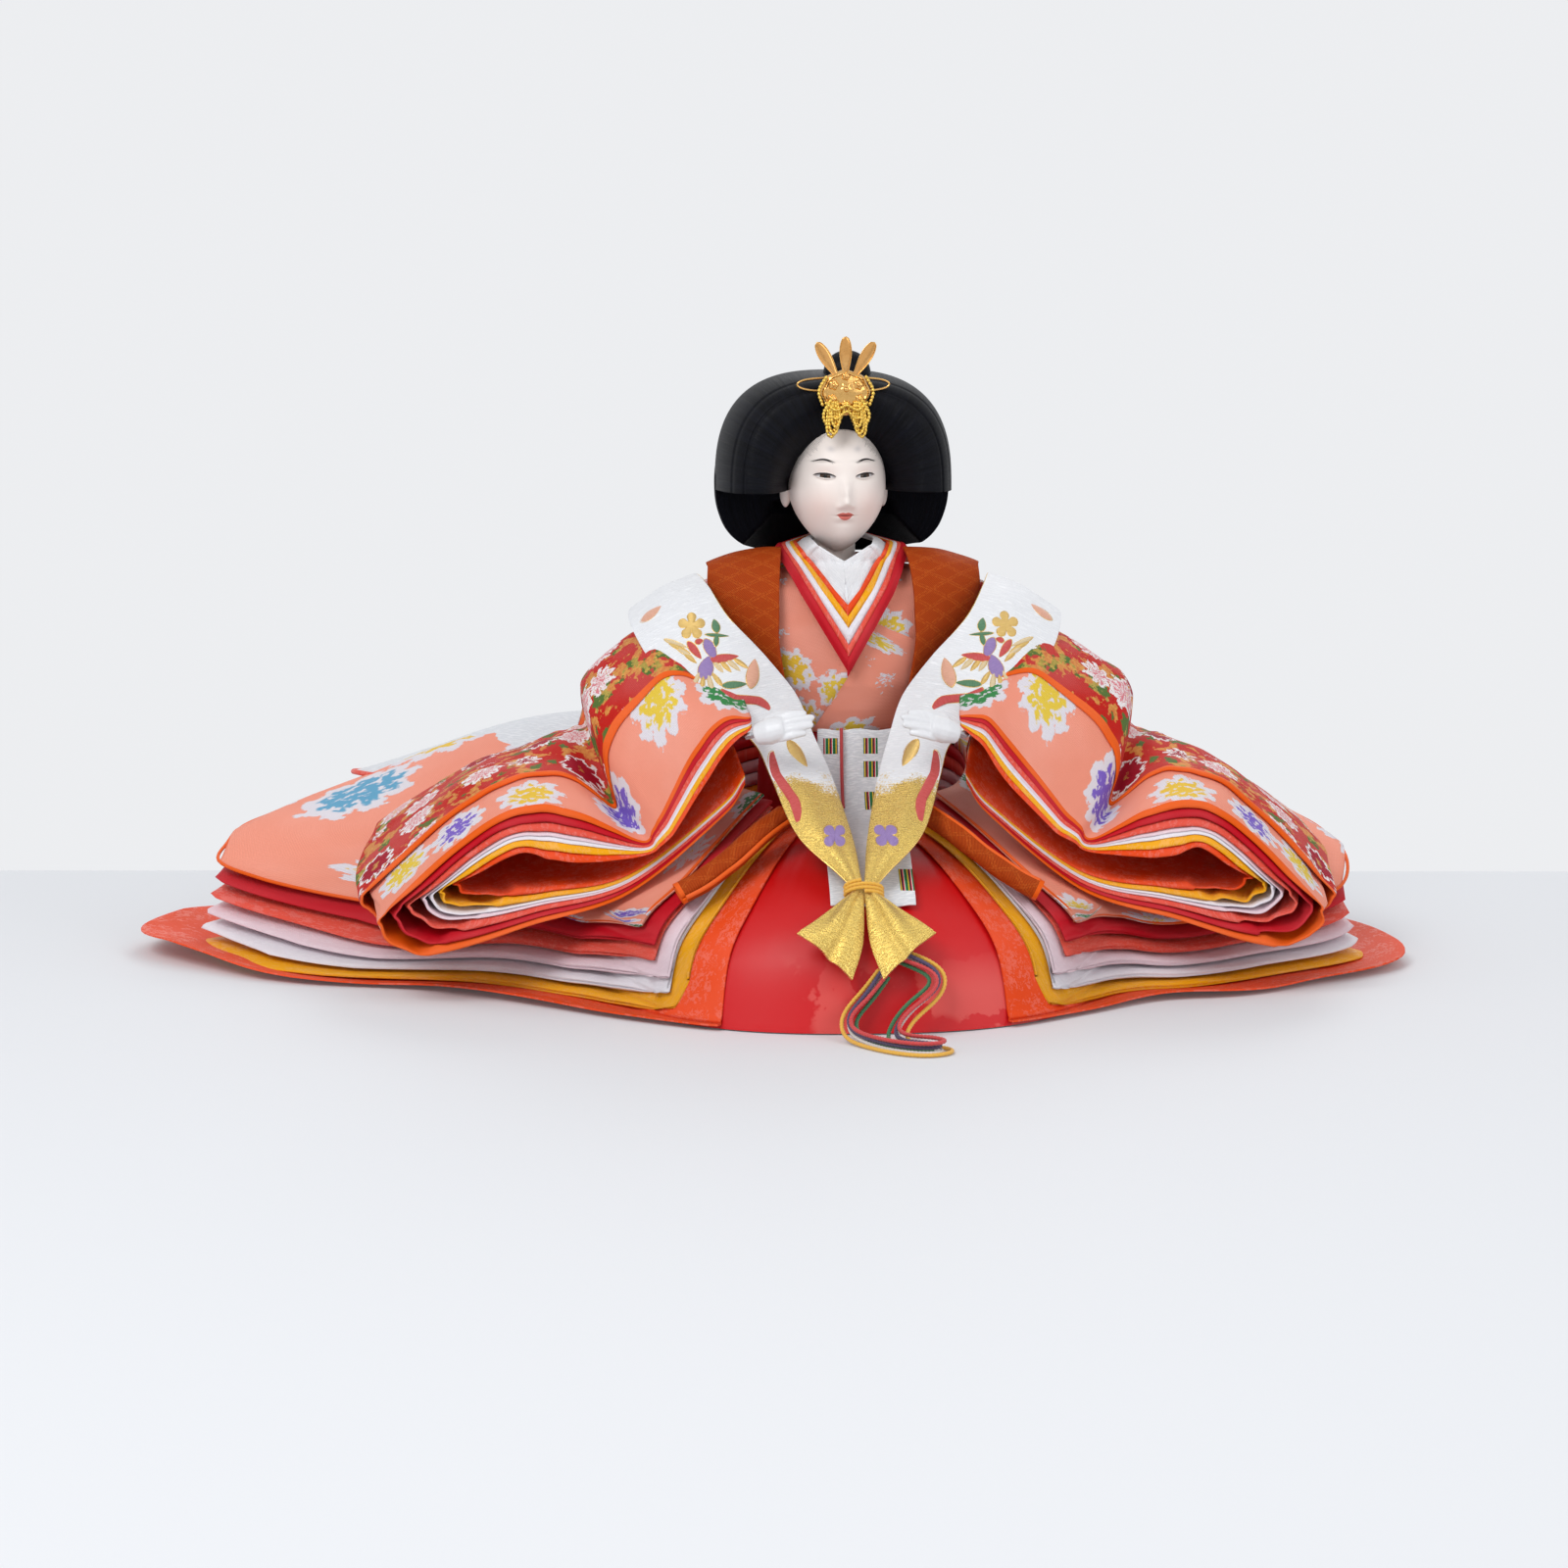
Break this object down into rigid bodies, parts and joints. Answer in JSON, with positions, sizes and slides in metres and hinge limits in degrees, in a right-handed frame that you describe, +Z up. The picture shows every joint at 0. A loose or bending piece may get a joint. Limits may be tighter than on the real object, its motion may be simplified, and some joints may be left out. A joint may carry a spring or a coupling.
{
  "type": "seated hina doll",
  "caption": "Seated court-lady festival doll in layered spreading robes, with a head on a pull-out stick, turning hands, a hair ornament and loose tying cords.",
  "frame": {"origin": "on the axis of the neck stick, in the plane of the base board's underside, which stands on the shelf", "axes": "the doll faces -Y, +X is its left hand side, +Z is up"},
  "size_m": [0.3973, 0.3168, 0.195],
  "materials": {
    "arm_wire": "bare wire",
    "base_board": "planed, unfinished",
    "body_core": "bound straw",
    "collar_coral": "satin",
    "collar_crimson": "satin",
    "collar_orange": "satin",
    "collar_white": "satin",
    "collar_yellow": "satin",
    "cord_green": "two-ply cord",
    "cord_navy": "two-ply cord",
    "cord_red": "two-ply cord",
    "cord_white": "two-ply cord",
    "cord_yellow": "two-ply cord",
    "hair": "combed silk fibre",
    "hakama": "satin",
    "head": "polished shell white",
    "hem_brocade": "figured brocade",
    "hem_coral": "satin",
    "hem_crimson": "satin",
    "hem_orange": "figured satin",
    "hem_pale_pink": "satin",
    "hem_white": "satin",
    "hem_yellow": "satin",
    "hire_left": "figured and foiled",
    "hire_right": "figured and foiled",
    "inner_collar": "ribbed",
    "karaginu_body": "figured brocade",
    "karaginu_collar": "lattice twill",
    "kogai_pin": "gilt wire",
    "lap_pad": "packed wood wool",
    "left_arm_roll": "wadding",
    "left_eye": "glossy",
    "left_hand": "polished shell white",
    "left_sleeve_coral": "satin",
    "left_sleeve_crimson": "satin",
    "left_sleeve_orange": "satin",
    "left_sleeve_pink": "figured brocade",
    "left_sleeve_red": "figured brocade",
    "left_sleeve_white": "satin",
    "left_sleeve_yellow": "satin",
    "mo_train": "pleated",
    "neck_stick": "turned dowel",
    "ornament_cord": "twisted metallic thread",
    "ornament_plate": "stamped and gilt",
    "right_arm_roll": "wadding",
    "right_eye": "glossy",
    "right_hand": "polished shell white",
    "right_sleeve_coral": "satin",
    "right_sleeve_crimson": "satin",
    "right_sleeve_orange": "satin",
    "right_sleeve_pink": "figured brocade",
    "right_sleeve_red": "figured brocade",
    "right_sleeve_white": "satin",
    "right_sleeve_yellow": "satin",
    "rolled_front_left": "lattice twill",
    "rolled_front_right": "lattice twill",
    "sash_front": "printed",
    "tie_thread": "twisted thread",
    "uwagi_bodice": "figured brocade"
  },
  "bodies": {
    "doll": {"arm_wire": "arm_wire", "base_board": "base_board", "body_core": "body_core", "collar_coral": "collar_coral", "collar_crimson": "collar_crimson", "collar_orange": "collar_orange", "collar_white": "collar_white", "collar_yellow": "collar_yellow", "cord_green": "cord_green", "cord_navy": "cord_navy", "cord_red": "cord_red", "cord_white": "cord_white", "cord_yellow": "cord_yellow", "hakama": "hakama", "hem_brocade": "hem_brocade", "hem_coral": "hem_coral", "hem_crimson": "hem_crimson", "hem_orange": "hem_orange", "hem_pale_pink": "hem_pale_pink", "hem_white": "hem_white", "hem_yellow": "hem_yellow", "hire_left": "hire_left", "hire_right": "hire_right", "inner_collar": "inner_collar", "karaginu_body": "karaginu_body", "karaginu_collar": "karaginu_collar", "lap_pad": "lap_pad", "left_arm_roll": "left_arm_roll", "left_sleeve_coral": "left_sleeve_coral", "left_sleeve_crimson": "left_sleeve_crimson", "left_sleeve_orange": "left_sleeve_orange", "left_sleeve_pink": "left_sleeve_pink", "left_sleeve_red": "left_sleeve_red", "left_sleeve_white": "left_sleeve_white", "left_sleeve_yellow": "left_sleeve_yellow", "mo_train": "mo_train", "right_arm_roll": "right_arm_roll", "right_sleeve_coral": "right_sleeve_coral", "right_sleeve_crimson": "right_sleeve_crimson", "right_sleeve_orange": "right_sleeve_orange", "right_sleeve_pink": "right_sleeve_pink", "right_sleeve_red": "right_sleeve_red", "right_sleeve_white": "right_sleeve_white", "right_sleeve_yellow": "right_sleeve_yellow", "rolled_front_left": "rolled_front_left", "rolled_front_right": "rolled_front_right", "sash_front": "sash_front", "tie_thread": "tie_thread", "uwagi_bodice": "uwagi_bodice"},
    "neck_stick": {"neck_stick": "neck_stick"},
    "head": {"head": "head", "left_eye": "left_eye", "right_eye": "right_eye", "hair": "hair"},
    "ornament": {"ornament_plate": "ornament_plate", "ornament_cord": "ornament_cord"},
    "kogai": {"kogai_pin": "kogai_pin"},
    "left_hand": {"left_hand": "left_hand"},
    "right_hand": {"right_hand": "right_hand"}
  },
  "joints": [
    {"name": "head_lift", "type": "slide", "parent": "doll", "child": "neck_stick", "axis": [0, 0, 1], "range_m": [0, 0.04]},
    {"name": "head_turn", "type": "hinge", "parent": "neck_stick", "child": "head", "pos_m": [0, 0, 0.135], "axis": [0, 0, 1], "range_deg": [-12, 12]},
    {"name": "ornament_pull", "type": "slide", "parent": "head", "child": "ornament", "axis": [0.1564, -0.9877, 0], "range_m": [0, 0.012]},
    {"name": "kogai_slide", "type": "slide", "parent": "ornament", "child": "kogai", "axis": [0.9877, 0.1564, 0], "range_m": [-0.008, 0.008]},
    {"name": "left_hand_turn", "type": "hinge", "parent": "doll", "child": "left_hand", "pos_m": [0.02578, -0.0752, 0.08281], "axis": [-0.8406, -0.4884, 0.2341], "range_deg": [-12, 12]},
    {"name": "right_hand_turn", "type": "hinge", "parent": "doll", "child": "right_hand", "pos_m": [-0.02578, -0.0752, 0.08281], "axis": [0.8406, -0.4884, 0.2341], "range_deg": [-12, 12]}
  ]
}
